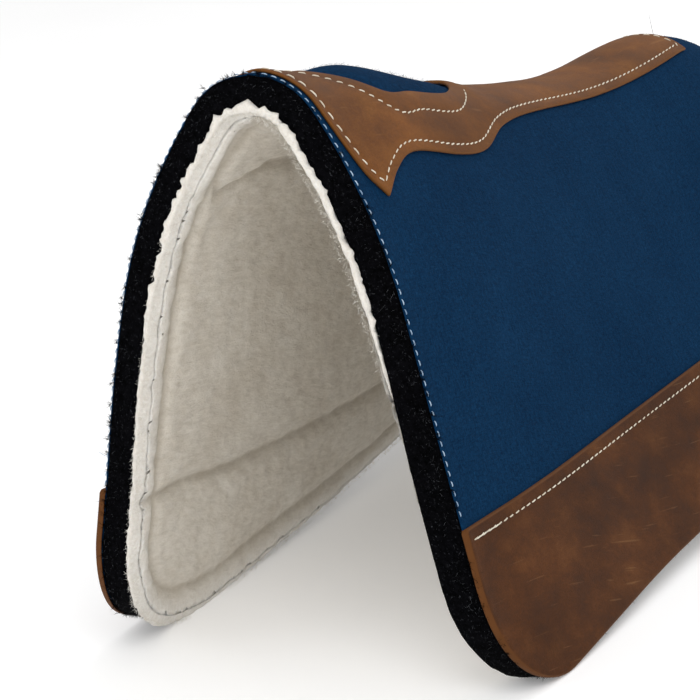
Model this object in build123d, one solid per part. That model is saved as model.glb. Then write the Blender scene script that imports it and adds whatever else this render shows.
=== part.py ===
"""Contoured western saddle pad: two felt halves sewn along a shaped spine.

Each half is a wool cover over a thick felt core with a fleece lining. One
leather spans the spine, with an oval opening over the withers, and a wear
leather covers the bottom of each side. A seam is one solid: its thread is
one continuous piece, laid flat on the layer it holds down.

Frame: X across the pad (right half at +X), Y from the front edge to the
rear, Z up. The origin is the outer face of the spine at the front edge.
All sizes are in millimetres.
"""
from build123d import *
import math
import os

# Overall size
LENGTH = 813.0
SIDE_DROP = 382.0

# Cross-section of the outer face, from the spine down one side: a crown arc,
# a flatter flank arc, then a straight leg. Towards the rear the flank arc
# shortens, so that the legs open further by the splay
CROWN_RADIUS = 46.0
CROWN_ANGLE = math.radians(56.0)
FLANK_RADIUS = 365.0
FLANK_ANGLE = math.radians(21.0)
SPLAY = math.radians(18.0)
SECTION_LENGTH = 470.0

# Height of the spine at distances from the front edge
SPINE_HEIGHTS = [
    (0.0, 0.0),
    (80.0, -10.0),
    (240.0, -50.0),
    (400.0, -79.0),
    (520.0, -89.0),
    (640.0, -87.0),
    (720.0, -97.0),
    (LENGTH, -138.0),
]

# Layers, counted inwards from the outer face of the cover
COVER_THICKNESS = 2.0
FELT_THICKNESS = 19.0
FLEECE_THICKNESS = 6.0
LEATHER_THICKNESS = 2.5
LAYER_GAP = 0.2
HALF_GAP = 0.15

# Outline of one side, seen from the side
CORNER_RADIUS = 80.0
FRONT_EDGE_RAKE = 5.0
BELLY_SLOPE = math.radians(5.8)

# Wear leather at the bottom of each side
WEAR_LEATHER_TOP = -272.0

# Spine leather: distance from the spine along the outer face, and
# distance from the pad's front edge
SPINE_LEATHER_FRONT = 6.5
WING_FRONT = [(62.0, 8.5), (90.0, 18.0)]
WING_TIP = (108.0, 35.0)
SPINE_LEATHER_SIDE = [
    (93.0, 62.0),
    (82.0, 98.0),
    (80.0, 168.0),
    (72.0, 220.0),
    (50.0, 278.0),
    (39.0, 350.0),
    (34.0, 480.0),
    (34.0, 605.0),
]
TAIL_CORNER = (31.0, 668.0)

# Opening in the spine leather, over the withers; the roundness of its front
# and rear ends is how far their curves run before they turn to the sides
OPENING_FRONT = 56.0
OPENING_REAR = 268.0
OPENING_SIDE = [(37.0, 100.0), (36.0, 150.0), (27.0, 222.0)]
OPENING_ROUNDNESS = (1.0, 0.7)

# Seams: a flat thread, and its distance inside the edge it follows
THREAD_WIDTH = 1.2
THREAD_THICKNESS = 0.8
THREAD_GAP = 0.05
LEATHER_SEAM_INSET = 6.5
OPENING_SEAM_INSET = 14.0
EDGE_SEAM_INSET = 3.0
FLEECE_SEAM_INSET = 20.0
SEAM_START = 2.0

# Webbing tape that joins the two halves, let into the top of the felt
TAPE_WIDTH = 12.0
TAPE_THICKNESS = 0.8
TAPE_RECESS_WIDTH = 14.0
TAPE_RECESS_DEPTH = 1.0
TAPE_END_CLEARANCE = 1.0

# Depths of the layer faces below the outer face
FELT_TOP = COVER_THICKNESS + LAYER_GAP
FELT_BOTTOM = COVER_THICKNESS + FELT_THICKNESS
FLEECE_TOP = FELT_BOTTOM + LAYER_GAP
FLEECE_BOTTOM = FELT_BOTTOM + FLEECE_THICKNESS
LEATHER_BOTTOM = -LAYER_GAP
LEATHER_TOP = LEATHER_BOTTOM - LEATHER_THICKNESS

CROWN_END = CROWN_RADIUS * CROWN_ANGLE

# Construction: cross-sections in a loft and their run past the pad's ends,
# samples along the spine and along pattern lines, and the cutting prisms
STATIONS = 13
OVERRUN = 12.0
SPINE_SAMPLES = 400
PATTERN_STEP = 12.0
REACH = 300.0
CUTTER_TILT = math.radians(42.0)


def spine_curve():
    """Spine line in the plane of symmetry, run a little past both ends."""
    front_slope = SPINE_HEIGHTS[1][1] / SPINE_HEIGHTS[1][0]
    (y_before, z_before), (y_last, z_last) = SPINE_HEIGHTS[-2:]
    rear_slope = (z_last - z_before) / (y_last - y_before)
    points = [(0, -OVERRUN, -OVERRUN * front_slope)]
    points += [(0, y, z) for y, z in SPINE_HEIGHTS]
    points += [(0, y_last + OVERRUN, z_last + OVERRUN * rear_slope)]
    return Spline(*points)


SPINE = spine_curve()
SPINE_POINTS = [SPINE @ (i / SPINE_SAMPLES) for i in range(SPINE_SAMPLES + 1)]


def spine_height(y):
    """Height of the outer face on the spine at distance y from the front edge."""
    for before, after in zip(SPINE_POINTS, SPINE_POINTS[1:]):
        if y <= after.Y:
            share = (y - before.Y) / (after.Y - before.Y)
            return before.Z + share * (after.Z - before.Z)
    return SPINE_POINTS[-1].Z


def flank_end(y):
    """Distance from the spine, along the outer face, at which the straight leg starts."""
    return CROWN_END + FLANK_RADIUS * (FLANK_ANGLE - SPLAY * y / LENGTH)


def section_point(along, y, depth):
    """Cross-section point: along the outer face from the spine, and depth below it."""
    crown = min(along, CROWN_END)
    flank = min(max(along, CROWN_END), flank_end(y)) - CROWN_END
    leg = max(along - flank_end(y), 0.0)
    crown_turn = crown / CROWN_RADIUS
    turn = crown_turn + flank / FLANK_RADIUS
    x = CROWN_RADIUS * math.sin(crown_turn)
    z = -CROWN_RADIUS * (1.0 - math.cos(crown_turn))
    x += FLANK_RADIUS * (math.sin(turn) - math.sin(crown_turn))
    z -= FLANK_RADIUS * (math.cos(crown_turn) - math.cos(turn))
    x += leg * math.cos(turn) - depth * math.sin(turn)
    z -= leg * math.sin(turn) + depth * math.cos(turn)
    return x, z


def surface_point(along, y, depth):
    """Point on the right half, depth below the outer face."""
    x, z = section_point(along, y, depth)
    return Vector(x, y, z + spine_height(y))


def section_face(y, depth_out, depth_in, gap):
    """Cross-section of the right half of a layer at distance y from the front."""
    sides = []
    for depth in (depth_out, depth_in):
        start = CROWN_RADIUS * math.asin(gap / (CROWN_RADIUS - depth))
        end = flank_end(y)
        marks = [start, (start + CROWN_END) / 2, CROWN_END, (CROWN_END + end) / 2, end]
        crown_flank = [surface_point(mark, y, depth) for mark in marks]
        bottom = surface_point(SECTION_LENGTH, y, depth)
        sides.append([
            ThreePointArc(*crown_flank[:3]),
            ThreePointArc(*crown_flank[2:]),
            Line(crown_flank[4], bottom),
        ])
    outer, inner = sides
    ends = [Line(outer[0] @ 0, inner[0] @ 0), Line(outer[2] @ 1, inner[2] @ 1)]
    return make_face(outer + inner + ends)


def layer_half(depth_out, depth_in, gap=HALF_GAP):
    """Right half of a layer, before its edges are trimmed."""
    step = (LENGTH + 2 * OVERRUN) / (STATIONS - 1)
    stations = [-OVERRUN + step * i for i in range(STATIONS)]
    return loft([section_face(y, depth_out, depth_in, gap) for y in stations])


def side_outline():
    """Face of one side in the YZ plane: raked ends, round corners, arched belly."""
    corner_y = FRONT_EDGE_RAKE + CORNER_RADIUS
    corner_z = -SIDE_DROP + CORNER_RADIUS

    def corner(angle):
        y = corner_y - CORNER_RADIUS * math.cos(angle)
        return y, corner_z - CORNER_RADIUS * math.sin(angle)

    quarter = math.pi / 2
    front = [corner(0.0), corner(quarter / 2), corner(quarter + BELLY_SLOPE)]
    rear = [(LENGTH - y, z) for y, z in reversed(front)]
    belly_y, belly_z = front[-1]
    rise = (LENGTH / 2 - belly_y) * math.tan(BELLY_SLOPE / 2)
    belly = [front[-1], (LENGTH / 2, belly_z + rise), rear[0]]
    top = [rear[-1], (LENGTH, 0.0), (LENGTH, REACH), (0.0, REACH), (0.0, 0.0), front[0]]
    arcs = [ThreePointArc(*[(0, y, z) for y, z in points]) for points in (front, belly, rear)]
    return make_face(arcs + [Polyline(*[(0, y, z) for y, z in top])])


def side_cutter(inset=0.0):
    """Prism of the side outline, wide enough to cross the pad, inset all round."""
    outline = side_outline()
    if inset:
        outline = offset(outline, amount=-inset)
    return extrude(outline, amount=REACH, dir=(1, 0, 0), both=True)


def box_between(low, high):
    """Box from one corner to the opposite one."""
    size = Vector(*high) - Vector(*low)
    return Pos(*low) * Box(*size, align=(Align.MIN, Align.MIN, Align.MIN))


def pattern_line(points, **ends):
    """Smooth line on the flat leather pattern, through (along, from front) points."""
    return Spline(*[(a, y, 0) for a, y in points], **ends)


def leather_pattern(inset=0.0):
    """Right edge of the spine leather, from the spine at the front to the tail."""
    front = pattern_line([(0.0, SPINE_LEATHER_FRONT)] + WING_FRONT + [WING_TIP])
    side = pattern_line([WING_TIP] + SPINE_LEATHER_SIDE + [TAIL_CORNER])
    tail = Line((*TAIL_CORNER, 0), (0, TAIL_CORNER[1], 0))
    if not inset:
        return [front, side, tail]
    right = [front, side, tail]
    left = [mirror(edge, about=Plane.YZ) for edge in right]
    inner = offset(make_face(right + left), amount=-inset, kind=Kind.INTERSECTION)
    half = inner & Pos(REACH / 2, LENGTH / 2) * Rectangle(REACH, 2 * LENGTH)
    outer_edges = half.edges().filter_by(lambda edge: edge.center().X > HALF_GAP)
    ordered = Wire(outer_edges).order_edges()
    return ordered if (ordered[0] @ 0).Y < (ordered[-1] @ 1).Y else ordered[::-1]


def opening_pattern(margin=0.0):
    """Right edge of the opening, or a line that runs margin outside it."""
    side = [(along + margin, y) for along, y in OPENING_SIDE]
    points = [(0.0, OPENING_FRONT - margin)] + side + [(0.0, OPENING_REAR + margin)]
    square_to_spine = [(1, 0, 0), (-1, 0, 0)]
    return [pattern_line(points, tangents=square_to_spine, tangent_scalars=OPENING_ROUNDNESS)]


def pattern_cutter(pattern):
    """Prism through the right half whose side follows a flat pattern line."""
    normal = Vector(math.sin(CUTTER_TILT), 0, math.cos(CUTTER_TILT))
    plane = Plane(origin=(0, 0, 0), x_dir=(0, 1, 0), z_dir=normal)
    mid_depth = (LEATHER_TOP + LEATHER_BOTTOM) / 2

    def flat(point):
        local = plane.to_local_coords(surface_point(point.X, point.Y, mid_depth))
        return Vector(local.X, local.Y, 0)

    edges = []
    for line in pattern:
        count = max(2, int(line.length / PATTERN_STEP))
        edges.append(Spline(*[flat(line @ (i / count)) for i in range(count + 1)]))
    first = edges[0] @ 0
    last = edges[-1] @ 1
    beyond_first = Vector(first.X, first.Y + REACH, 0)
    beyond_last = Vector(last.X, last.Y + REACH, 0)
    edges += [Line(last, beyond_last), Line(beyond_last, beyond_first), Line(beyond_first, first)]
    return extrude(plane * make_face(edges), amount=REACH, both=True)


def both_halves(half):
    """Join a right half that reaches the plane of symmetry to its mirror image."""
    return half + mirror(half, about=Plane.YZ)


def felt_core():
    """Thick felt, recessed along the spine for the joining tape."""
    felt = layer_half(FELT_TOP, FELT_BOTTOM) & side_cutter()
    above = layer_half(-LEATHER_THICKNESS, FELT_TOP + TAPE_RECESS_DEPTH, gap=0.0)
    strip = box_between((0, -OVERRUN, -REACH), (TAPE_RECESS_WIDTH / 2, LENGTH + OVERRUN, REACH))
    return felt - (above & strip)


def spine_tape():
    """Webbing tape across the butt joint of the felt halves, full length."""
    top = FELT_TOP + (TAPE_RECESS_DEPTH - TAPE_THICKNESS) / 2
    ends = TAPE_END_CLEARANCE
    strip = box_between((0, ends, -REACH), (TAPE_WIDTH / 2, LENGTH - ends, REACH))
    return both_halves(layer_half(top, top + TAPE_THICKNESS, gap=0.0) & strip)


def spine_leather():
    """Leather over the spine: wings at the withers, a strip tail, an opening."""
    half = layer_half(LEATHER_TOP, LEATHER_BOTTOM, gap=0.0)
    half = half & pattern_cutter(leather_pattern())
    return both_halves(half - pattern_cutter(opening_pattern()))


def wear_leather():
    """Leather over the bottom of one side, flush with the pad's edges."""
    below = box_between((0, -OVERRUN, -2 * REACH), (REACH, LENGTH + OVERRUN, WEAR_LEATHER_TOP))
    return layer_half(LEATHER_TOP, LEATHER_BOTTOM) & side_cutter() & below


def thread_layer(surface_depth, outwards, gap=0.0):
    """Right half of a layer of thread thickness, just clear of a layer's face."""
    near = surface_depth - outwards * THREAD_GAP
    far = near - outwards * THREAD_THICKNESS
    return layer_half(min(near, far), max(near, far), gap)


def thread_inside_outline(layer, inset, low):
    """Thread that follows the side outline at an inset, from the spine down to low."""
    thread = (layer & side_cutter(inset)) - side_cutter(inset + THREAD_WIDTH)
    return thread & box_between((SEAM_START, -OVERRUN, low), (REACH, LENGTH + OVERRUN, REACH))


def edge_seam():
    """Threads that hold the cover to the felt along the front and rear edges."""
    low = WEAR_LEATHER_TOP + THREAD_WIDTH
    return thread_inside_outline(thread_layer(0.0, 1), EDGE_SEAM_INSET, low)


def wear_leather_seam():
    """Level thread just below the top edge of the wear leather."""
    top = WEAR_LEATHER_TOP - LEATHER_SEAM_INSET
    ends = 2 * FRONT_EDGE_RAKE
    band = box_between((0, ends, top - THREAD_WIDTH), (REACH, LENGTH - ends, top))
    return thread_layer(LEATHER_TOP, 1) & band


def fleece_seam():
    """Thread that quilts the lining to the felt, inside the edge of one side."""
    return thread_inside_outline(thread_layer(FLEECE_BOTTOM, -1), FLEECE_SEAM_INSET, -2 * REACH)


def spine_leather_seam():
    """Thread just inside the outer edge of the spine leather."""
    ring = pattern_cutter(leather_pattern(LEATHER_SEAM_INSET))
    ring -= pattern_cutter(leather_pattern(LEATHER_SEAM_INSET + THREAD_WIDTH))
    return both_halves(thread_layer(LEATHER_TOP, 1) & ring)


def opening_seam():
    """Thread round the opening in the spine leather."""
    ring = pattern_cutter(opening_pattern(OPENING_SEAM_INSET + THREAD_WIDTH))
    ring -= pattern_cutter(opening_pattern(OPENING_SEAM_INSET))
    return both_halves(thread_layer(LEATHER_TOP, 1) & ring)


def save(shape, node):
    """Write one node of the assembly."""
    export_step(shape, f"parts/{node}.step")


def build():
    os.makedirs("parts", exist_ok=True)
    paired = {
        "cover": layer_half(0.0, COVER_THICKNESS) & side_cutter(),
        "felt_core": felt_core(),
        "fleece_lining": layer_half(FLEECE_TOP, FLEECE_BOTTOM) & side_cutter(),
        "wear_leather": wear_leather(),
        "edge_seam": edge_seam(),
        "wear_leather_seam": wear_leather_seam(),
        "fleece_seam": fleece_seam(),
    }
    for name, right in paired.items():
        save(right, f"{name}_right")
        save(mirror(right, about=Plane.YZ), f"{name}_left")
    save(spine_leather(), "spine_leather")
    save(spine_leather_seam(), "spine_leather_seam")
    save(opening_seam(), "opening_seam")
    save(spine_tape(), "spine_tape")


build()
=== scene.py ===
"""Contoured western saddle pad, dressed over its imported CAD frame.

Everything soft is drawn on one flat pattern of the pad: u is the distance from
the spine along the outer face (negative on the left), y the distance from the
front edge, and depth the distance below the outer face. place() folds that
pattern over the arch. Lengths are in metres.
"""

import math

import bmesh
import bpy
import numpy as np
from mathutils import Matrix, Vector
from mathutils.bvhtree import BVHTree
from mathutils.geometry import delaunay_2d_cdt
from mathutils.kdtree import KDTree


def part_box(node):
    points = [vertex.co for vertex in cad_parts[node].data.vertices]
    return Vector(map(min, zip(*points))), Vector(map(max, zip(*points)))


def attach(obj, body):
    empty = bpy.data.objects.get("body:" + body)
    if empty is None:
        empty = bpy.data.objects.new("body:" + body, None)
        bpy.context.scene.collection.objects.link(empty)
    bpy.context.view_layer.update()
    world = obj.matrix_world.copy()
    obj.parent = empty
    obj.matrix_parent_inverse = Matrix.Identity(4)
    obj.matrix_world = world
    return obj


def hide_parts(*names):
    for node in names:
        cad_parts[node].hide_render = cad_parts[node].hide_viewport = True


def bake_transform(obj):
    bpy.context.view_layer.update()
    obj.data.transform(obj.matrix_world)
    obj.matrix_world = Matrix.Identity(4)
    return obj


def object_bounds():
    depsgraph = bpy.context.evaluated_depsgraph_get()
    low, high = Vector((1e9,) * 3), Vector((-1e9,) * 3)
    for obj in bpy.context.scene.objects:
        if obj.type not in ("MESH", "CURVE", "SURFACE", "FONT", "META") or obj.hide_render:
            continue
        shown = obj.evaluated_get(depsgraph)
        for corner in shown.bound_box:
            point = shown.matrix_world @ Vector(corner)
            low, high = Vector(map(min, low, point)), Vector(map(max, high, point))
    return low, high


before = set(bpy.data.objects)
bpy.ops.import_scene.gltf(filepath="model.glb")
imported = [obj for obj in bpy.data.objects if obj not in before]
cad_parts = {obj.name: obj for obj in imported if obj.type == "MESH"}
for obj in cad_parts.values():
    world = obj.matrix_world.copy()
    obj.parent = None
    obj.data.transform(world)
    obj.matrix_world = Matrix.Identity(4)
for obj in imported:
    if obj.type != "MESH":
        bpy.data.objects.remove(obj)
cad_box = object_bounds()
scene = bpy.context.scene
rng = np.random.default_rng(7)

MM = 0.001

# Cross-section of the outer face: crown arc, flank arc, straight leg; the
# flank shortens towards the rear, so that the legs open further
CROWN_RADIUS = 46 * MM
CROWN_ANGLE = math.radians(56)
FLANK_RADIUS = 365 * MM
FLANK_ANGLE = math.radians(21)
SPLAY = math.radians(18)
CROWN_END = CROWN_RADIUS * CROWN_ANGLE

# Depth of each layer's inner face below the outer face, and the leathers' thickness
COVER = 2 * MM
FELT = 21 * MM
FLEECE = 27 * MM
LEATHER = 2.5 * MM
LAYER_GAP = 0.2 * MM

# Side outline
CORNER_RADIUS = 80 * MM
EDGE_RAKE = 5 * MM
BELLY_SLOPE = math.radians(5.8)

# Cut edges: the outer face turns up a little, the inner side stands forward,
# and low on the right front the lining is tucked back behind swollen felt
EDGE_FLARE = 1.6 * MM
EDGE_FLARE_REACH = 9 * MM
INNER_FORWARD = 3 * MM
TUCK = 20 * MM
TUCK_SWELL = 0.16
TUCK_SWELL_REACH = 16 * MM

# Bow of the wear leather's top edge
WEAR_BOW = 6 * MM

# Lining's pile: most that it swells between its quilting lines, and the flat
# blank whose simulation gives that swell
SWELL_LIMIT = 2.6 * MM
BLANK_WIDTH = 0.39
BLANK_STEP = 8 * MM
BLANK_PILE = 3 * MM
BLANK_FRAMES = 20

# The withers dip behind the front edge
WITHERS_DIP = 5.5 * MM
WITHERS_DIP_AT = 55 * MM
WITHERS_DIP_LENGTH = 38 * MM
WITHERS_DIP_WIDTH = 45 * MM

# The left shoulder has sunk: a little at the front edge, more behind its lip
SHOULDER_SINK = 0.3 * MM
SHOULDER_LIP = 7.5 * MM
SHOULDER_LIP_REACH = 9 * MM
SHOULDER_LENGTH = 170 * MM

# The left side is fuller half way down; its bottom edge hangs lower at the
# belly, shorter at both ends, and stands nearer at the front than at the rear
LEFT_FULLER = 4.5 * MM
LEFT_FULLER_AT = -150 * MM
LEFT_FULLER_REACH = 95 * MM
LEFT_LOWER = 4 * MM
LEFT_FRONT_SHORTER = 17 * MM
LEFT_FRONT_LENGTH = 105 * MM
LEFT_REAR_SHORTER = 10 * MM
LEFT_REAR_FROM = 300 * MM
LEFT_REAR_LENGTH = 250 * MM
LEFT_NEARER = 8 * MM
LEFT_WIDER = 9 * MM
LEFT_SWING_LENGTH = 500 * MM

# Seams: distances inside the edges they follow; pitch, length and radius of
# their stitches; the groove that they pull into leather
EDGE_SEAM = 3 * MM
EDGE_STITCHES = 1.5 * MM
LEATHER_SEAM = 6.5 * MM
OPENING_SEAM = 14 * MM
FLEECE_SEAM = 20 * MM
LEATHER_THREAD = (8.5 * MM, 5.6 * MM, 0.5 * MM)
EDGE_THREAD = (6.2 * MM, 3.6 * MM, 0.34 * MM)
FLEECE_THREAD = (12 * MM, 8 * MM, 0.35 * MM)
FLEECE_THREAD_SUNK = 4.8 * MM
LEATHER_GROOVE = 2.4 * MM
LEATHER_GROOVE_DEPTH = 0.45 * MM
LINE_STEP = 1.5 * MM
OUTLINE_STEP = 2 * MM

# Spine leather, as (u, y) on the right half
SPINE_LEATHER_FRONT = [(0, 6.5), (34, 6.5), (62, 8.5), (90, 18), (108, 35)]
SPINE_LEATHER_SIDE = [(108, 35), (93, 62), (82, 98), (80, 168), (72, 220),
                      (50, 278), (39, 350), (34, 480), (34, 605), (31, 668)]
OPENING_SIDE = [(0, 56), (37, 100), (36, 150), (27, 222), (0, 268)]

node_low, node_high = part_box("cover_right")
LENGTH = node_high.y - node_low.y + 2 * abs(node_low.y)
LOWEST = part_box("wear_leather_right")[0].z
WEAR_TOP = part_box("wear_leather_right")[1].z


# ---- The pattern

def spine_line():
    """Spine heights of the CAD cover, read by rays beside its middle."""
    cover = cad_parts["cover_right"].data
    tree = BVHTree.FromPolygons([v.co for v in cover.vertices],
                                [list(p.vertices) for p in cover.polygons])
    stations = np.linspace(2 * MM, LENGTH - 2 * MM, 60)
    heights = [tree.ray_cast(Vector((MM, y, 1)), Vector((0, 0, -1)))[0].z for y in stations]
    return stations, np.array(heights)


SPINE_Y, SPINE_Z = spine_line()


def spine_height(y):
    """Height of the outer face over the spine, carried on straight at the ends."""
    height = np.interp(y, SPINE_Y, SPINE_Z)
    front = (SPINE_Z[1] - SPINE_Z[0]) / (SPINE_Y[1] - SPINE_Y[0])
    rear = (SPINE_Z[-1] - SPINE_Z[-2]) / (SPINE_Y[-1] - SPINE_Y[-2])
    return (height + np.minimum(y - SPINE_Y[0], 0) * front
            + np.maximum(y - SPINE_Y[-1], 0) * rear)


def section(along, y, depth):
    """x and z of the cross-section at a distance along it, and its turn from level."""
    crown = np.minimum(along, CROWN_END) / CROWN_RADIUS
    flank_end = CROWN_END + FLANK_RADIUS * (FLANK_ANGLE - SPLAY * y / LENGTH)
    turn = crown + (np.clip(along, CROWN_END, flank_end) - CROWN_END) / FLANK_RADIUS
    leg = np.maximum(along - flank_end, 0)
    x = CROWN_RADIUS * np.sin(crown) + FLANK_RADIUS * (np.sin(turn) - np.sin(crown))
    z = -CROWN_RADIUS * (1 - np.cos(crown)) - FLANK_RADIUS * (np.cos(crown) - np.cos(turn))
    x = x + leg * np.cos(turn) - depth * np.sin(turn)
    z = z - leg * np.sin(turn) - depth * np.cos(turn)
    return x, z, turn


def bell(distance, reach):
    """1 at no distance, falling away smoothly past the reach."""
    return np.exp(-(distance / reach) ** 2)


def smoothstep(t):
    """Smooth rise from 0 to 1 while t does the same."""
    t = np.clip(t, 0, 1)
    return t * t * (3 - 2 * t)


def sunk(u, y):
    """How far the outer face has sunk at the withers and the left shoulder."""
    shoulder = smoothstep((6 * MM - u) / (24 * MM)) * smoothstep((120 * MM + u) / (80 * MM))
    shoulder = shoulder * bell(y, SHOULDER_LENGTH)
    lip = 1 - np.exp(-np.maximum(y, 0) / SHOULDER_LIP_REACH)
    dip = bell(y - WITHERS_DIP_AT, WITHERS_DIP_LENGTH) * bell(u, WITHERS_DIP_WIDTH)
    return shoulder * (SHOULDER_SINK + SHOULDER_LIP * lip) + WITHERS_DIP * dip


def edge_flare(u, y):
    """How far the outer face turns up towards the front and rear edges."""
    ends = np.maximum(y, 0), np.maximum(LENGTH - y, 0)
    flare = sum(EDGE_FLARE * np.exp(-end / EDGE_FLARE_REACH) for end in ends)
    return flare * smoothstep(np.abs(u) / (60 * MM))


def left_drape(y, z):
    """Sideways and upward shifts of the left side, at heights z."""
    hang = smoothstep((-z - 190 * MM) / (190 * MM))
    swing = LEFT_NEARER - (LEFT_NEARER + LEFT_WIDER) * np.clip(y / LEFT_SWING_LENGTH, 0, 1)
    fuller = LEFT_FULLER * bell(z - LEFT_FULLER_AT, LEFT_FULLER_REACH)
    shorter = (LEFT_FRONT_SHORTER * np.exp(-(y / LEFT_FRONT_LENGTH) ** 4) - LEFT_LOWER
               + LEFT_REAR_SHORTER * smoothstep((y - LEFT_REAR_FROM) / LEFT_REAR_LENGTH))
    return hang * swing - fuller, hang * shorter


def place(u, y, depth):
    """Points in space of pattern points (arrays). Low down, the cut through the layers is level."""
    u, y, depth = np.broadcast_arrays(np.asarray(u, float), y, depth)
    along = np.abs(u)
    turn = section(along, y, 0.0)[2]
    level_cut = smoothstep((along - 0.22) / 0.12) * np.maximum(depth, 0)
    along = along - level_cut / np.tan(np.maximum(turn, 0.5))
    x, z, _ = section(along, y, depth - edge_flare(u, y) + sunk(u, y))
    z = z + spine_height(y)
    aside, up = left_drape(y, z)
    return np.stack([np.where(u < 0, aside - x, x), y, z + np.where(u < 0, up, 0)], axis=-1)


def outward(u, y):
    """Outward normals of the cross-section (arrays)."""
    _, _, turn = section(np.abs(u), y, 0.0)
    side = np.where(u < 0, -1.0, 1.0)
    return np.stack([side * np.sin(turn), np.zeros_like(turn), np.cos(turn)], axis=-1)


def wear_top(y):
    """Height of the wear leather's top edge, which bows down between its ends."""
    return WEAR_TOP - WEAR_BOW * np.sin(np.pi * np.clip(y / LENGTH, 0, 1))


def along_at(y, z):
    """Distance from the spine at which the outer face reaches height z (arrays)."""
    low, high = np.zeros_like(y), np.full_like(y, 0.6)
    for _ in range(30):
        middle = (low + high) / 2
        above = section(middle, y, 0.0)[1] + spine_height(y) > z
        low, high = np.where(above, middle, low), np.where(above, high, middle)
    return low


def pairs(a, b):
    """Two arrays as rows of points."""
    return np.stack([a, b], 1)


def unit(vectors):
    """Vectors scaled to length 1."""
    return vectors / np.linalg.norm(vectors, axis=-1, keepdims=True)


def run_along(line):
    """Distance of each point of a line from its start."""
    return np.r_[0, np.cumsum(np.linalg.norm(np.diff(line, axis=0), axis=1))]


def closed(loop):
    """A closed loop as a line that ends where it starts."""
    return np.vstack([loop, loop[:1]])


def points_at(marks, line):
    """Points of a line at distances from its start."""
    lengths = run_along(line)
    return np.stack([np.interp(marks, lengths, axis) for axis in line.T], -1)


def resample(points, step):
    """Points at an even spacing along an open line through points."""
    points = np.asarray(points, float)
    length = run_along(points)[-1]
    return points_at(np.linspace(0, length, max(2, int(round(length / step)) + 1)), points)


def smooth_line(points):
    """Catmull-Rom line through a few points, resampled evenly."""
    p = np.asarray(points, float)
    p = np.vstack([2 * p[0] - p[1], p, 2 * p[-1] - p[-2]])
    t = np.linspace(0, 1, 24, endpoint=False)[:, None]
    parts = []
    for a, b, c, d in zip(p, p[1:], p[2:], p[3:]):
        parts.append(0.5 * (2 * b + (c - a) * t + (2 * a - 5 * b + 4 * c - d) * t ** 2
                            + (3 * b - a - 3 * c + d) * t ** 3))
    return resample(np.vstack(parts + [p[-2:-1]]), LINE_STEP)


def side_profile(step=OUTLINE_STEP):
    """(y, z) of one side's edge, from the spine at the front to the spine at the rear."""
    corner_y, corner_z = EDGE_RAKE + CORNER_RADIUS, LOWEST + CORNER_RADIUS
    turns = np.linspace(0, math.pi / 2 + BELLY_SLOPE, 60)
    front = pairs(corner_y - CORNER_RADIUS * np.cos(turns), corner_z - CORNER_RADIUS * np.sin(turns))
    belly_y, belly_z = front[-1]
    half = LENGTH / 2 - belly_y
    radius = half / math.sin(BELLY_SLOPE)
    across = np.linspace(-half, half, 80)[1:-1]
    rise = np.sqrt(radius ** 2 - across ** 2) - radius * math.cos(BELLY_SLOPE)
    belly = pairs(LENGTH / 2 + across, belly_z + rise)
    rear = front[::-1] * [-1, 1] + [LENGTH, 0]
    rear_share = spine_height(LENGTH) / corner_z
    rear_top = [[LENGTH - rear_share * EDGE_RAKE, spine_height(LENGTH)]]
    line = np.vstack([[[0, 0]], front, belly, rear, rear_top])
    return resample(line, step)


def pad_outline():
    """Closed outline of the whole pad on the pattern, anticlockwise from the right front."""
    y, z = side_profile().T
    right = pairs(along_at(y, z), y)
    right[0, 0] = right[-1, 0] = 0
    return mirrored(right)


def wear_outline(side):
    """Closed outline of the wear leather on one side (1 right, -1 left)."""
    y, z = side_profile().T
    low = z < WEAR_TOP
    y, z = y[low], z[low]
    top_y = np.arange(y[-1], y[0], -OUTLINE_STEP)[1:]
    top = pairs(along_at(top_y, wear_top(top_y)), top_y)
    loop = np.vstack([pairs(along_at(y, z), y), top])
    return loop * [side, 1]


def inset_loop(loop, distance):
    """A closed loop moved towards its own inside, with mitred corners."""
    before = loop - np.roll(loop, 1, 0)
    after = np.roll(loop, -1, 0) - loop
    area = np.sum(loop[:, 0] * np.roll(loop[:, 1], -1) - np.roll(loop[:, 0], -1) * loop[:, 1])
    turn = math.copysign(1, area)

    ahead = unit(before) + unit(after)
    total = pairs(-ahead[:, 1], ahead[:, 0]) * turn
    scale = np.maximum(np.sum(total * total, 1) / 2, 0.35)
    return loop + total / scale[:, None] * np.asarray(distance).reshape(-1, 1)


def seam_inside(loop, distance):
    """Line inside a closed loop, cleaned where it would cross itself at sharp corners."""
    moved = inset_loop(loop, distance)
    return moved[nearest(moved, resample(closed(loop), MM)) > distance * 0.97]


def inside(points, loop):
    """Which points lie inside a closed loop."""
    result = np.zeros(len(points), bool)
    x, y = points.T
    for (x0, y0), (x1, y1) in zip(loop, np.roll(loop, -1, 0)):
        crosses = (y0 > y) != (y1 > y)
        if y1 != y0:
            result ^= crosses & (x < (x1 - x0) * (y - y0) / (y1 - y0) + x0)
    return result


def nearest(points, line):
    """Distance from each point to the closest point of a dense line."""
    tree = KDTree(len(line))
    for i, (a, b) in enumerate(line):
        tree.insert((a, b, 0), i)
    tree.balance()
    return np.array([tree.find((a, b, 0))[2] for a, b in points])


def mixed(a, b, c, d, s, t):
    """Value between four corners, at shares s and t across them."""
    return (a * (1 - s) + b * s) * (1 - t) + (c * (1 - s) + d * s) * t


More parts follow.
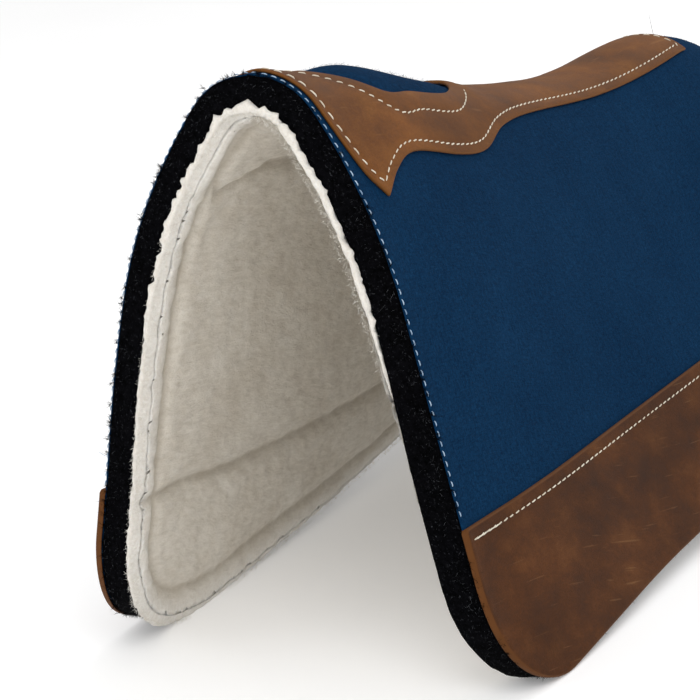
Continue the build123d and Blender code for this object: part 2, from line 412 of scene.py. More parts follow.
def wobble(u, y, scale, seed):
    """Smooth value noise between -1 and 1 on the pattern, at one scale in metres."""
    size = 257
    table = np.random.default_rng(seed).uniform(-1, 1, (size, size))
    a, b = u / scale + 128.5, y / scale + 7.3
    i, j = np.floor(a).astype(int), np.floor(b).astype(int)
    s, t = smoothstep(a - i), smoothstep(b - j)
    i0, i1, j0, j1 = i % size, (i + 1) % size, j % size, (j + 1) % size
    return mixed(table[i0, j0], table[i1, j0], table[i0, j1], table[i1, j1], s, t)


# ---- Mesh makers

def new_object(name, data):
    """Object in the scene's collection."""
    obj = bpy.data.objects.new(name, data)
    scene.collection.objects.link(obj)
    return obj


def new_mesh(name, points, faces, pattern=None, edge=None, tone=None):
    """Smooth mesh object, with pattern coordinates and paint masks as attributes."""
    mesh = bpy.data.meshes.new(name)
    mesh.from_pydata(points.tolist(), [], faces)
    mesh.polygons.foreach_set("use_smooth", [True] * len(mesh.polygons))
    if pattern is not None:
        attribute = mesh.attributes.new("pattern", "FLOAT_VECTOR", "POINT")
        attribute.data.foreach_set("vector", pattern.astype(np.float32).ravel())
    for label, values in (("edge", edge), ("tone", tone)):
        if values is not None:
            attribute = mesh.attributes.new(label, "FLOAT", "POINT")
            attribute.data.foreach_set("value", np.asarray(values, np.float32))
    return new_object(name, mesh)


def filled(outline, holes, spacing):
    """Points and anticlockwise triangles that fill a loop around holes."""
    edge_points = np.vstack([outline] + holes)
    low, high = edge_points.min(0), edge_points.max(0)
    columns, rows = np.meshgrid(np.arange(low[0], high[0], spacing),
                                np.arange(low[1], high[1], spacing * 0.866))
    columns[1::2] += spacing / 2
    grid = pairs(columns.ravel(), rows.ravel())

    def in_cloth(points):
        keep = inside(points, outline)
        for hole in holes:
            keep &= ~inside(points, hole)
        return keep

    grid = grid[in_cloth(grid)]
    grid = grid[nearest(grid, edge_points) > spacing * 0.55]
    edges, start = [], 0
    for loop in [outline] + holes:
        count = len(loop)
        edges += [(start + i, start + (i + 1) % count) for i in range(count)]
        start += count
    flat_points = [Vector(p) for p in np.vstack([edge_points, grid])]
    verts, _, tris, _, _, _ = delaunay_2d_cdt(flat_points, edges, [], 0, 1e-7, False)
    points, tris = np.array([tuple(v) for v in verts]), np.array(tris)
    tris = tris[in_cloth(points[tris].mean(1))]
    a, b, c = points[tris[:, 0]], points[tris[:, 1]], points[tris[:, 2]]
    flipped = np.cross(b - a, c - a) < 0
    tris[flipped] = tris[flipped][:, ::-1]
    return points, tris


def sheet(name, loops, spacing, face_inset, rim, top, bottom, ragged=None, shade_paint=None, border_highlight=None):
    """Closed padded sheet. loops: outline, then holes. face_inset: how far inside
    them both faces end. rim: (inset, share of thickness) of the rings between the
    faces, from the outer to the inner one. top, bottom: depths as functions of u
    and y. ragged: extra inset and depth of a ring. The last two arguments are masks
    from u and y: of painted shade, and of a painted highlight."""
    signs = [1.0] + [-1.0] * (len(loops) - 1)
    flat = [inset_loop(loop, face_inset * sign) for loop, sign in zip(loops, signs)]
    points, tris = filled(flat[0], flat[1:], spacing)
    count = len(points)
    faces = tris.tolist() + (tris[:, ::-1] + count).tolist()
    u, y = points.T
    us, ys = [u, u], [y, y]
    depths = [top(u, y), bottom(u, y)]
    total, offset = 2 * count, 0
    for loop, sign in zip(loops, signs):
        n = len(loop)
        rings = [np.arange(n) + offset]
        for inset, share in rim:
            shift, sink = (0.0, 0.0) if ragged is None else ragged(loop, share)
            ru, ry = inset_loop(loop, inset * sign + shift).T
            us.append(ru)
            ys.append(ry)
            depths.append(top(ru, ry) * (1 - share) + bottom(ru, ry) * share + sink)
            rings.append(np.arange(n) + total)
            total += n
        rings.append(np.arange(n) + offset + count)
        for near, far in zip(rings, rings[1:]):
            faces += np.stack([np.roll(near, -1), near, far, np.roll(far, -1)], 1).tolist()
        offset += n
    u, y, depth = np.concatenate(us), np.concatenate(ys), np.concatenate(depths)
    # Painted shade goes into tone, a painted highlight into edge; without a highlight mask, edge marks
    # the rings between the faces.
    tone = np.zeros_like(u) if shade_paint is None else shade_paint(u, y)
    edge = np.arange(total) >= 2 * count if border_highlight is None else border_highlight(u, y)
    pattern = np.stack([u, y, depth], 1)
    return faced_out(new_mesh(name, place(u, y, depth), faces, pattern, edge, tone))


def faced_out(obj):
    """A closed mesh object, with all its faces turned outwards."""
    work = bmesh.new()
    work.from_mesh(obj.data)
    bmesh.ops.recalc_face_normals(work, faces=work.faces)
    work.to_mesh(obj.data)
    work.free()
    return obj


def stitch_shape(radius):
    """One arched stitch, its ends dipped and tapered: for each point the share along,
    the way round, across and up; then the faces."""
    rings, sides = 7, 6
    ring = np.arange(rings * sides).reshape(rings, sides)
    t = np.repeat(np.linspace(-1, 1, rings), sides)
    turn = np.tile(np.arange(sides) * 2 * math.pi / sides, rings)
    rise = radius * (1.15 * (1 - t ** 4) - 0.75)
    girth = radius * np.sqrt(np.maximum(0.25, 1 - np.abs(t) ** 5))
    near, far = ring[:-1], ring[1:]
    walls = np.stack([near, far, np.roll(far, -1, 1), np.roll(near, -1, 1)], -1).reshape(-1, 4)
    faces = walls.tolist() + [ring[0].tolist(), ring[-1, ::-1].tolist()]
    return t, turn * radius, girth * np.cos(turn), rise + girth * np.sin(turn), faces


def stitches(name, lines, thread, slant=0.0):
    """Separate arched stitches along pattern lines. lines: (points in u and y, depth)."""
    pitch, length, radius = thread
    t, around, across, up, shape = stitch_shape(radius)
    points, pattern, faces, tones = [], [], [], []
    for line, depth in lines:
        line = resample(line, 0.5 * MM)
        path = place(*line.T, depth)
        normals = outward(*line.T)
        lengths = run_along(path)
        for mark in np.arange(pitch * 0.5, lengths[-1] - pitch * 0.3, pitch):
            mark += rng.uniform(-0.03, 0.03) * pitch
            centre = points_at(mark, path)
            spot = min(np.searchsorted(lengths, mark), len(path) - 2)
            normal = normals[spot]
            ahead = path[min(spot + 3, len(path) - 1)] - path[max(spot - 3, 0)]
            ahead = unit(ahead - normal * (ahead @ normal))
            beside = np.cross(normal, ahead)
            tilt = slant + rng.uniform(-0.05, 0.05)
            ahead, beside = (ahead * math.cos(tilt) + beside * math.sin(tilt),
                             beside * math.cos(tilt) - ahead * math.sin(tilt))
            along = t * length * rng.uniform(0.94, 1.05) / 2
            base = len(points) * len(t)
            faces += [[base + corner for corner in face] for face in shape]
            points.append(centre + np.outer(along, ahead) + np.outer(across, beside)
                          + np.outer(up, normal))
            pattern.append(np.stack([mark + along, around, np.full_like(t, depth)], 1))
            tones.append(np.full_like(t, rng.uniform(0, 1)))
    return faced_out(new_mesh(name, np.vstack(points), faces, np.vstack(pattern),
                              tone=np.concatenate(tones)))


def fibres(name, material, slot, roots, directions, lengths, width, curl, tones):
    """Fine tapered hairs, each a three-sided bent spike, in one dressed mesh."""
    count = len(roots)
    directions = unit(directions)
    side = unit(np.cross(directions, rng.normal(size=(count, 3))))
    other = np.cross(directions, side)
    bend = rng.normal(size=(count, 3)) * curl
    points = []
    for t, thick in ((0.0, 1.0), (0.35, 0.9), (0.7, 0.6)):
        centre = roots + directions * (lengths * t)[:, None] + bend * (lengths * t * t)[:, None]
        for k in range(3):
            a = 2 * math.pi * k / 3
            around = side * math.cos(a) + other * math.sin(a)
            points.append(centre + around * (width * thick / 2))
    points.append(roots + directions * lengths[:, None] + bend * lengths[:, None])
    points = np.stack(points, 1)
    each = points.shape[1]
    base = np.arange(count)[:, None, None] * each
    ring = ((0, 1), (1, 2), (2, 0))
    walls = [(r + a, r + b, r + 3 + b, r + 3 + a) for r in (0, 3) for a, b in ring]
    tips = [(6 + a, 6 + b, 9) for a, b in ring]
    faces = (base + walls).reshape(-1, 4).tolist() + (base + tips).reshape(-1, 3).tolist()
    faces += (base[:, 0] + [2, 1, 0]).tolist()
    obj = new_mesh(name, points.reshape(-1, 3), faces, np.repeat(roots, each, axis=0),
                   tone=np.repeat(tones, each))
    dress(obj, material, slot)


# ---- Materials

class Nodes:
    """Short-hand for building a node material."""

    def __init__(self, name):
        self.material = bpy.data.materials.new(name)
        self.material.use_nodes = True
        self.tree = self.material.node_tree
        self.shader = self.tree.nodes["Principled BSDF"]

    def fill(self, node, inputs):
        """Link each named input to an output, or set it to a number, vector or colour."""
        for name, value in inputs.items():
            self.feed(value, node.inputs[name])

    def feed(self, value, socket):
        if isinstance(value, bpy.types.NodeSocket):
            self.tree.links.new(value, socket)
        elif socket.type == "RGBA":
            socket.default_value = (*value, 1)
        else:
            socket.default_value = value

    def add(self, kind, inputs, **settings):
        node = self.tree.nodes.new(kind)
        for key, value in settings.items():
            setattr(node, key, value)
        self.fill(node, inputs)
        return node

    def attribute(self, name, output="Fac"):
        return self.add("ShaderNodeAttribute", {}, attribute_name=name).outputs[output]

    def pattern(self, scale=(1, 1, 1), turn=0):
        inputs = {"Vector": self.attribute("pattern", "Vector"), "Rotation": (0, 0, turn), "Scale": scale}
        return self.add("ShaderNodeMapping", inputs).outputs["Vector"]

    def bands(self, direction, scale):
        return self.add("ShaderNodeTexWave", {"Scale": scale, "Vector": self.pattern()},
                        wave_type="BANDS", bands_direction=direction).outputs["Fac"]

    def noise(self, vector, scale, detail=4, rough=0.6):
        inputs = {"Vector": vector, "Scale": scale, "Detail": detail, "Roughness": rough}
        return self.add("ShaderNodeTexNoise", inputs).outputs["Fac"]

    def ramp(self, value, stops):
        node = self.add("ShaderNodeValToRGB", {"Fac": value})
        ramp = node.color_ramp
        ramp.elements[0].position, ramp.elements[0].color = stops[0][0], (*stops[0][1], 1)
        ramp.elements[1].position, ramp.elements[1].color = stops[-1][0], (*stops[-1][1], 1)
        for position, colour in stops[1:-1]:
            element = ramp.elements.new(position)
            element.color = (*colour, 1)
        return node.outputs["Color"]

    def mix(self, factor, a, b, blend="MIX"):
        node = self.add("ShaderNodeMix", {"Factor": factor}, data_type="RGBA", blend_type=blend)
        colours = [s for s in node.inputs if s.type == "RGBA"]
        self.feed(a, colours[0])
        self.feed(b, colours[1])
        return [s for s in node.outputs if s.type == "RGBA"][0]

    def shaded(self, colour, value, stops):
        """A colour multiplied by a ramp over a value."""
        return self.mix(1.0, colour, self.ramp(value, stops), "MULTIPLY")

    def flecked(self, colour, value, stops):
        """A colour with a ramp over a value added to it."""
        return self.mix(1.0, colour, self.ramp(value, stops), "ADD")

    def math(self, operation, a, b):
        node = self.add("ShaderNodeMath", {}, operation=operation)
        self.feed(a, node.inputs[0])
        self.feed(b, node.inputs[1])
        return node.outputs[0]

    def bump(self, height, strength, distance):
        inputs = {"Height": height, "Strength": strength, "Distance": distance}
        self.fill(self.shader, {"Normal": self.add("ShaderNodeBump", inputs).outputs["Normal"]})

    def finish(self, colour, roughness, sheen=0.0, specular=0.5):
        self.fill(self.shader, {"Base Color": colour, "Roughness": roughness, "Sheen Weight": sheen,
                                "Sheen Roughness": 0.5, "Specular IOR Level": specular})
        return self.material


def wool_material():
    """Navy wool felt cloth: fine matted nap, faint cross weave, slight shade drift, pale lint."""
    n = Nodes("navy_wool")
    pattern = n.pattern()
    drift = n.noise(pattern, 11, 3)
    nap = n.noise(pattern, 700, 6, 0.75)
    lint = n.noise(pattern, 420, 2, 0.5)
    warp = n.noise(n.pattern((1, 0.1, 1)), 1300, 2)
    weft = n.noise(n.pattern((0.1, 1, 1)), 1300, 2)
    weave = n.math("ADD", warp, weft)
    base = n.ramp(drift, [(0.3, (0.0022, 0.0205, 0.057)), (0.7, (0.0034, 0.0262, 0.07))])
    colour = n.shaded(base, nap, [(0.3, (0.5, 0.58, 0.62)), (0.7, (1.6, 1.44, 1.36))])
    matted = n.noise(pattern, 330, 4, 0.7)
    colour = n.shaded(colour, matted, [(0.34, (0.72, 0.76, 0.8)), (0.66, (1.3, 1.24, 1.2))])
    threads = n.math("MULTIPLY", weave, 0.5)
    colour = n.shaded(colour, threads, [(0.38, (0.78, 0.8, 0.82)), (0.62, (1.25, 1.2, 1.2))])
    colour = n.flecked(colour, lint, [(0.7, (0, 0, 0)), (0.8, (0.01, 0.016, 0.024))])
    n.bump(n.math("ADD", nap, weave), 0.4, 0.0007)
    return n.finish(colour, 1.0, specular=0.03)


def felt_material():
    """Black pressed felt with pale fibres caught in the cut."""
    n = Nodes("black_felt")
    pattern = n.pattern()
    clumps = n.noise(pattern, 260, 6, 0.75)
    specks = n.noise(n.pattern((1.0, 1.0, 1.5)), 520, 5, 0.75)
    base = n.ramp(clumps, [(0.35, (0.0004, 0.0004, 0.0006)), (0.7, (0.004, 0.004, 0.0052))])
    colour = n.flecked(base, specks, [(0.6, (0, 0, 0)), (0.74, (0.075, 0.078, 0.09))])
    n.bump(n.math("ADD", clumps, specks), 1.0, 0.002)
    return n.finish(colour, 1.0, specular=0.02)


def fleece_material():
    """Cream short pile: brushed streaks, hollows between tufts, painted shade along the quilting grooves,
    a painted highlight on the rolled border.
    """
    n = Nodes("cream_fleece")
    pattern = n.pattern()
    broad = n.noise(pattern, 20, 4)
    brushed = n.noise(n.pattern((1.0, 0.35, 1.0)), 260, 5, 0.7)
    tufts = n.noise(pattern, 420, 5, 0.7)
    fine = n.noise(pattern, 1300, 3, 0.7)
    base = n.ramp(broad, [(0.3, (0.6, 0.55, 0.475)), (0.7, (0.69, 0.65, 0.58))])
    colour = n.shaded(base, brushed, [(0.28, (0.84, 0.82, 0.79)), (0.62, (1.05, 1.05, 1.05))])
    # Painted shade: the pile is darkened along the quilting grooves, by the tone mask.
    colour = n.mix(n.attribute("tone"), colour, (0.33, 0.28, 0.21))
    # Painted highlight: the rolled border strip up to the quilting seam is painted paler, by the edge
    # mask.
    edge = n.math("MULTIPLY", n.attribute("edge"), 0.6)
    border_highlight = n.ramp(tufts, [(0.3, (0.7, 0.66, 0.6)), (0.6, (0.9, 0.885, 0.85))])
    colour = n.mix(edge, colour, border_highlight)
    small = n.math("ADD", n.math("MULTIPLY", tufts, 0.7), n.math("MULTIPLY", fine, 0.3))
    n.bump(n.math("ADD", brushed, small), 0.6, 0.0017)
    n.fill(n.shader, {"Subsurface Weight": 0.1, "Subsurface Radius": (0.004, 0.003, 0.002)})
    return n.finish(colour, 1.0, sheen=0.1, specular=0.05)


def leather_material(name, dark, middle, light, cut, scratch):
    """Oiled leather: mottling, rubbed patches, fine scratches, bare cut edges."""
    n = Nodes(name)
    pattern = n.pattern()
    mottle = n.noise(n.pattern((1, 0.5, 1)), 42, 10, 0.7)
    patches = n.noise(n.pattern((1, 0.5, 1)), 15, 5, 0.55)
    pores = n.noise(pattern, 900, 6, 0.65)
    base = n.ramp(mottle, [(0.32, dark), (0.52, middle), (0.72, light)])
    colour = n.shaded(base, patches, [(0.4, (0.8, 0.77, 0.74)), (0.62, (1.18, 1.15, 1.12))])
    lines = 0.0
    for angle, scale in ((0.5, 330), (-0.9, 410), (1.7, 280), (2.6, 500)):
        marks = n.noise(n.pattern((1, 0.05, 1), angle), scale, 1, 0.3)
        lines = n.math("MAXIMUM", lines, marks)
    colour = n.flecked(colour, lines, [(0.745, (0, 0, 0)), (0.8, scratch)])
    colour = n.shaded(colour, pores, [(0.3, (0.78, 0.78, 0.78)), (0.7, (1.18, 1.18, 1.18))])
    bare = n.mix(mottle, cut, tuple(c * 0.6 for c in cut))
    colour = n.mix(n.attribute("edge"), colour, bare)
    rough = n.math("ADD", n.math("MULTIPLY", mottle, 0.25), 0.5)
    n.bump(n.math("ADD", pores, n.math("MULTIPLY", mottle, 1.5)), 0.3, 0.0006)
    return n.finish(colour, rough, specular=0.08)


def thread_material(name, colour, shade):
    """Twisted thread, each stitch a slightly different tone."""
    n = Nodes(name)
    twist = n.bands("DIAGONAL", 700)
    base = n.ramp(n.attribute("tone"), [(0.0, shade), (1.0, colour)])
    twisted = n.shaded(base, twist, [(0.0, (0.72, 0.72, 0.72)), (1.0, (1.1, 1.1, 1.1))])
    n.bump(twist, 0.4, 0.0003)
    return n.finish(twisted, 0.8, sheen=0.1, specular=0.2)


def hair_material(name, dark, light, start):
    """Loose fibres; tone picks between the usual and the pale ones."""
    n = Nodes(name)
    base = n.ramp(n.attribute("tone"), [(start, dark), (1.0, light)])
    drift = n.noise(n.pattern(), 300, 2)
    colour = n.shaded(base, drift, [(0.3, (0.8, 0.8, 0.8)), (0.7, (1.1, 1.1, 1.1))])
    return n.finish(colour, 1.0, specular=0.05)


def webbing_material():
    """Flat woven tape."""
    n = Nodes("tape_webbing")
    ribs = n.bands("Y", 400)
    colour = n.ramp(ribs, [(0.0, (0.02, 0.02, 0.03)), (1.0, (0.05, 0.05, 0.065))])
    n.bump(ribs, 0.5, 0.0004)
    return n.finish(colour, 0.9)


def dress(obj, material, slot, *replaced, rides=None):
    """Give a piece its material (slot is not used), let it stand for CAD nodes, and let it ride
    one half of the pad, or else keep it where it is, its transform baked into its mesh."""
    obj.data.materials.append(material)
    if replaced:
        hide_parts(*replaced)
    if rides:
        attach(obj, rides)
    else:
        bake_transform(obj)


# ---- Pattern lines

def mirrored(line):
    """Closed loop from a right half line that starts and ends on the spine."""
    left = line[::-1] * [-1, 1]
    return np.vstack([line, left[1:-1]])


def spine_leather_half():
    """Right edge of the spine leather, from the spine at the front to the tail."""
    front = smooth_line(np.array(SPINE_LEATHER_FRONT) * MM)
    side = smooth_line(np.array(SPINE_LEATHER_SIDE) * MM)
    tail = resample([side[-1], (0, side[-1][1])], LINE_STEP)
    return np.vstack([front, side[1:], tail[1:]])


def opening_half(margin=0.0):
    """Right edge of the opening, or a line that runs margin outside it."""
    points = np.array(OPENING_SIDE) * MM
    points[1:-1, 0] += margin
    points[0, 1] -= margin
    points[-1, 1] += margin
    before = points[1] * [-1, 1]
    after = points[-2] * [-1, 1]
    line = smooth_line(np.vstack([before, points, after]))
    line = line[line[:, 0] >= 0]
    line[0, 0] = line[-1, 0] = 0
    return line


PAD = pad_outline()
SPINE_LEATHER = mirrored(spine_leather_half())
OPENING = mirrored(opening_half())
OPENING_LINE = mirrored(opening_half(OPENING_SEAM))
SPINE_SEAM_LINE = seam_inside(SPINE_LEATHER, LEATHER_SEAM)
FLEECE_LINE = inset_loop(PAD, FLEECE_SEAM)


def wear_seam_line(side):
    """Line of the wear leather's seam on one side (1 right, -1 left)."""
    y = np.arange(2 * EDGE_RAKE, LENGTH - 2 * EDGE_RAKE, LINE_STEP)
    u = along_at(y, wear_top(y) - LEATHER_SEAM)
    return pairs(side * u, y)


def level(depth):
    """The same depth all over the pattern, as a function of u and y."""
    return lambda u, y: np.full_like(u, depth)


def groove(points, line, width, depth):
    """Depth of a soft groove along a line, at pattern points."""
    return depth * bell(nearest(points, line), width)


def leather_top(u, y, line, waves):
    """Depth of a leather's face, pulled down along a seam, with low waves in it."""
    pulled = groove(pairs(u, y), line, LEATHER_GROOVE, LEATHER_GROOVE_DEPTH)
    return -LAYER_GAP - LEATHER + pulled + waves


# ---- Pieces

def make_cover(material):
    """Wool cover: softly uneven, pulled down along the edge seam, padded in the opening."""
    edge_line = inset_loop(PAD, EDGE_SEAM)

    def top(u, y):
        points = pairs(u, y)
        soft = 0.35 * MM * wobble(u, y, 30 * MM, 3) + 0.15 * MM * wobble(u, y, 7 * MM, 4)
        pulled = groove(points, edge_line, 2.2 * MM, 0.5 * MM)
        bulge = np.clip(nearest(points, OPENING) / (14 * MM), 0, 1) ** 0.7
        padded = np.where(inside(points, OPENING), 1.8 * MM * bulge, 0)
        return 0.1 * MM + soft * 0.4 + pulled - padded

    rim = [(1.2 * MM, 0.2), (1.0 * MM, 0.5), (1.0 * MM, 0.8)]
    obj = sheet("wool_cover", [PAD], 4.5 * MM, 1.6 * MM, rim, top, level(COVER))
    dress(obj, material, "navy_wool", "cover_left", "cover_right")


def tucked(u, y):
    """How far the lining is tucked back behind the felt, low on the right front."""
    drop = -section(np.abs(u), y, 0.0)[1]
    low = smoothstep((drop - 0.12) / 0.15)
    front = smoothstep((0.24 - y) / 0.14)
    return np.where(u > 0, TUCK * low * front, 0)


def felt_inside(u, y):
    """Depth of the felt's inner face: it swells where the lining is tucked back."""
    from_front = np.maximum(y - EDGE_RAKE, 0)
    return FELT + TUCK_SWELL * tucked(u, y) * bell(from_front, TUCK_SWELL_REACH)


def make_felt(material):
    """Felt core: a roughly cut edge with rounded corners, swollen over the cover's edge."""
    def ragged(loop, share):
        s = run_along(loop)
        across = share * 0.016 + 0 * s
        swollen = -1.5 * MM * max(0.0, 1 - share / 0.1)
        rough = 0.3 * MM * wobble(s, across, 3 * MM, 11) + 0.35 * MM * wobble(s, across, 9 * MM, 12)
        return rough, swollen

    rim = []
    for share in (0.04, 0.12, 0.22, 0.33, 0.44, 0.55, 0.66, 0.77, 0.88, 0.96):
        round_off = max(0.0, abs(share - 0.5) - 0.3) ** 2 * 22 * MM
        rim.append((round_off - share * INNER_FORWARD, share))
    obj = sheet("felt_core", [PAD], 6 * MM, 1.2 * MM, rim, level(COVER + LAYER_GAP), felt_inside, ragged)
    dress(obj, material, "black_felt", "felt_core_left", "felt_core_right")


def blank_mesh(us, ys):
    """Flat closed blank: a grid of points at the height of the pile over a backing."""
    u, y = (axis.ravel() for axis in np.meshgrid(us, ys))
    count = len(u)
    points = np.vstack([np.stack([u, y, np.full_like(u, height)], 1) for height in (BLANK_PILE, 0)])
    index = np.arange(count).reshape(len(ys), len(us))
    corners = index[:-1, :-1], index[:-1, 1:], index[1:, 1:], index[1:, :-1]
    front = np.stack(corners, -1).reshape(-1, 4)
    back = front[:, [0, 3, 2, 1]] + count
    around = np.r_[index[0], index[1:, -1], index[-1, -2::-1], index[-2::-1, 0]]
    a, b = around[:-1], around[1:]
    walls = np.stack([b, a, count + a, count + b], 1)
    faces = np.stack([front, back], 1).reshape(-1, 4).tolist() + walls.tolist()
    return new_mesh("blank", points, faces), pairs(u, y)


def blow_up(quilt):
    """Swell of the lining's pile between its quilting lines: a cloth simulation of
    the flat blank, sewn to a backing along the lines and blown up from inside.
    Returns a function that gives the swell at pattern points."""
    us = np.linspace(-BLANK_WIDTH, BLANK_WIDTH, int(2 * BLANK_WIDTH / BLANK_STEP) + 1)
    ys = np.linspace(0, LENGTH, int(LENGTH / BLANK_STEP) + 1)
    columns, rows, count = len(us), len(ys), len(us) * len(ys)
    blank, flat = blank_mesh(us, ys)
    sewn = (nearest(flat, quilt) < 5 * MM) | ~inside(flat, inset_loop(PAD, 2 * MM))
    group = blank.vertex_groups.new(name="sewn")
    group.add(np.nonzero(sewn)[0].tolist() + list(range(count, 2 * count)), 1.0, "REPLACE")
    cloth = blank.modifiers.new("cloth", "CLOTH")
    settings = cloth.settings
    settings.quality = 4
    settings.vertex_group_mass = "sewn"
    settings.use_pressure = True
    settings.uniform_pressure_force = 4
    settings.shrink_min = -0.03
    settings.effector_weights.gravity = 0
    cloth.collision_settings.use_collision = False
    cloth.point_cache.frame_start, cloth.point_cache.frame_end = 1, BLANK_FRAMES
    for frame_number in range(1, BLANK_FRAMES + 1):
        scene.frame_set(frame_number)
    blown = blank.evaluated_get(bpy.context.evaluated_depsgraph_get()).to_mesh()
    heights = np.array([v.co.z for v in blown.vertices[:count]]).reshape(rows, columns) - BLANK_PILE
    swell = SWELL_LIMIT * (1 - np.exp(-np.maximum(heights, 0) / SWELL_LIMIT))
    scene.frame_set(1)
    bpy.data.objects.remove(blank)

    def swell_at(u, y):
        column = np.clip((u + BLANK_WIDTH) / (2 * BLANK_WIDTH) * (columns - 1), 0, columns - 1.001)
        row = np.clip(y / LENGTH * (rows - 1), 0, rows - 1.001)
        j, i = column.astype(int), row.astype(int)
        return mixed(swell[i, j], swell[i, j + 1], swell[i + 1, j], swell[i + 1, j + 1],
                     column - j, row - i)
    return swell_at


def make_fleece(material):
    """Fleece lining: quilted pile, with a rolled, lumpy edge that is tufted at the top."""
    quilt = np.vstack([FLEECE_LINE, wear_seam_line(1), wear_seam_line(-1), SPINE_SEAM_LINE])
    swell_at = blow_up(quilt)
    distances = {}

    def from_quilting(u, y):
        key = (len(u), float(u[0]), float(y[-1]))
        if key not in distances:
            distances[key] = nearest(pairs(u, y), quilt)
        return distances[key]

    def top(u, y):
        return felt_inside(u, y) + LAYER_GAP

    def bottom(u, y):
        away = from_quilting(u, y)
        pile = (0.6 * MM * wobble(u, y, 18 * MM, 21) + 0.45 * MM * wobble(u, y, 7 * MM, 22)
                + 0.3 * MM * wobble(u, y, 3.5 * MM, 23))
        pressed = 1.2 * bell(away, 10 * MM) + 1.9 * bell(away, 4.2 * MM)
        thin = tucked(u, y) / TUCK * np.exp(-np.maximum(y, 0) / (60 * MM))
        return FLEECE - 0.8 * MM + swell_at(u, y) - pressed * MM + pile - 3 * MM * thin

    def ragged(loop, share):
        s = run_along(loop)
        u, y = loop.T
        across = share * 0.02 + 0 * s
        lumps = (0.9 * MM * wobble(s, across, 4 * MM, 31) + 1.0 * MM * wobble(s, across, 9 * MM, 32)
                 + 0.5 * MM * wobble(s, across, 2.2 * MM, 36))
        drop = -section(np.abs(u), y, 0.0)[1]
        high = np.clip((0.24 - drop) / 0.14, 0.25, 1)
        still = 0 * s
        lip = high * (2 + 2.4 * wobble(s, still, 5 * MM, 33) + 1.3 * wobble(s, still, 2.3 * MM, 34))
        tuft = 3.2 * bell(u, 12 * MM) * (1 + 0.9 * wobble(s, still, 2.6 * MM, 35))
        raised = -(lip + tuft) * MM * max(0.0, 1 - share / 0.5)
        return lumps + tucked(u, y), raised

    # Painted shade along the quilting grooves, stored as tone.
    def quilting_shade(u, y):
        return 0.5 * bell(from_quilting(u, y), 3 * MM)

    # Painted highlight on the rolled border strip, stored as edge.
    def border_highlight(u, y):
        return smoothstep(1 - nearest(pairs(u, y), PAD) / FLEECE_SEAM)

    roll = [(0.2, 0.02), (1.9, 0.14), (2.4, 0.32), (1.6, 0.52), (-0.4, 0.72)]
    rim = [(-INNER_FORWARD - forward * MM, share) for forward, share in roll]
    rim += [(1.2 * MM, 0.88), (5.5 * MM, 0.97)]
    obj = sheet("fleece_lining", [PAD], 3.4 * MM, 1.5 * MM, rim, top, bottom,
                ragged, quilting_shade, border_highlight)
    dress(obj, material, "cream_fleece", "fleece_lining_left", "fleece_lining_right")


def make_spine_leather(material):
    """Spine leather, lifted a little at the rear of its opening."""
    def lift(u, y):
        return 1.6 * MM * bell(u, 22 * MM) * bell(y - 272 * MM, 14 * MM)

    def top(u, y):
        pulled = groove(pairs(u, y), OPENING_LINE, LEATHER_GROOVE, LEATHER_GROOVE_DEPTH)
        waves = 0.25 * MM * wobble(u, y, 35 * MM, 41)
        return leather_top(u, y, SPINE_SEAM_LINE, waves + pulled - lift(u, y))

    def bottom(u, y):
        return -0.15 * MM - lift(u, y)

    rim = [(0.35 * MM, 0.12), (0, 0.35), (0, 0.7), (0.35 * MM, 0.9)]
    obj = sheet("leather_spine", [SPINE_LEATHER, OPENING], 2.6 * MM, 1.0 * MM, rim, top, bottom)
    dress(obj, material, "tan_leather", "spine_leather")


def make_wear_leather(side, name, material):
    """Wear leather of one side, its edge wrapped over the cover's."""
    line = wear_seam_line(side)

    def top(u, y):
        return leather_top(u, y, line, 0.3 * MM * wobble(u, y, 40 * MM, 51))

    def wrapped(loop, share):
        return 0.0, COVER * smoothstep((share - 0.3) / 0.4)

    over = 0.9 * MM
    rim = [(-0.3 * MM, 0.12), (-over, 0.35), (-over, 0.7), (-over, 0.95)]
    obj = sheet(f"leather_wear_{name}", [wear_outline(side)], 3.5 * MM, 0.6 * MM, rim,
                top, level(-0.15 * MM), wrapped)
    dress(obj, material, "dark_leather", f"wear_leather_{name}", rides=f"{name}_half")


def make_tape(material):
    """Webbing tape across the butt joint of the felt halves."""
    y = np.arange(2 * MM, LENGTH - 2 * MM, 3 * MM)
    u = np.full_like(y, 6 * MM)
    loop = np.vstack([pairs(u, y), pairs(-u, y[::-1])])
    obj = sheet("webbing_tape", [loop], 3 * MM, 0.1 * MM, [(0, 0.5)],
                level(2.4 * MM), level(3.1 * MM))
    dress(obj, material, "tape_webbing", "spine_tape")


def leather_stitches(name, lines, slant):
    """Leather stitches on the face of a leather, along pattern lines."""
    face = -LAYER_GAP - LEATHER + 0.35 * MM
    return stitches(name, [(line, face) for line in lines], LEATHER_THREAD, slant)


def make_leather_threads(cream):
    """Seams of the spine leather, its opening and both wear leathers."""
    for name, line, node in (("thread_spine_leather", SPINE_SEAM_LINE, "spine_leather_seam"),
                             ("thread_opening", OPENING_LINE, "opening_seam")):
        obj = leather_stitches(name, [closed(line)], 0.12)
        dress(obj, cream, "cream_thread", node)
    for side, name in ((1, "right"), (-1, "left")):
        line = wear_seam_line(side)
        backtack = line[:25] + [0, 0.4 * LEATHER_THREAD[0]]
        obj = leather_stitches(f"thread_wear_leather_{name}", [line, backtack], 0.1 * side)
        dress(obj, cream, "cream_thread", f"wear_leather_seam_{name}", rides=f"{name}_half")


